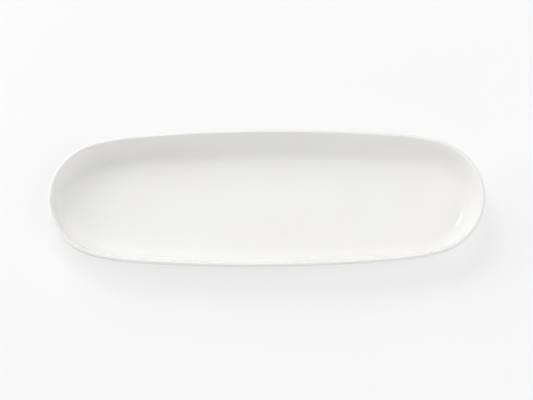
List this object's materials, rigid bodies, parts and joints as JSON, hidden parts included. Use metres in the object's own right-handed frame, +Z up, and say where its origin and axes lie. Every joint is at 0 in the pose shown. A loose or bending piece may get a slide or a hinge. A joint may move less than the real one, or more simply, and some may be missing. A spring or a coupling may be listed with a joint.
{
  "type": "asparagus plate",
  "caption": "Long oval serving dish in white glazed porcelain, with a flat floor, a steep curved wall, a rounded rim and a bare foot ring.",
  "frame": {"origin": "centre of the foot ring's standing face, at table height", "axes": "+X along the dish's length, +Y across it, +Z up out of the dish"},
  "size_m": [0.38, 0.1264, 0.0285],
  "materials": {
    "biscuit": "bare fired porcelain, matt and faintly grainy",
    "glaze": "gloss white glaze, slightly warm"
  },
  "bodies": {
    "root": {"porcelain_body": "biscuit", "outer_glaze": "glaze", "recess_glaze": "glaze"}
  },
  "joints": []
}
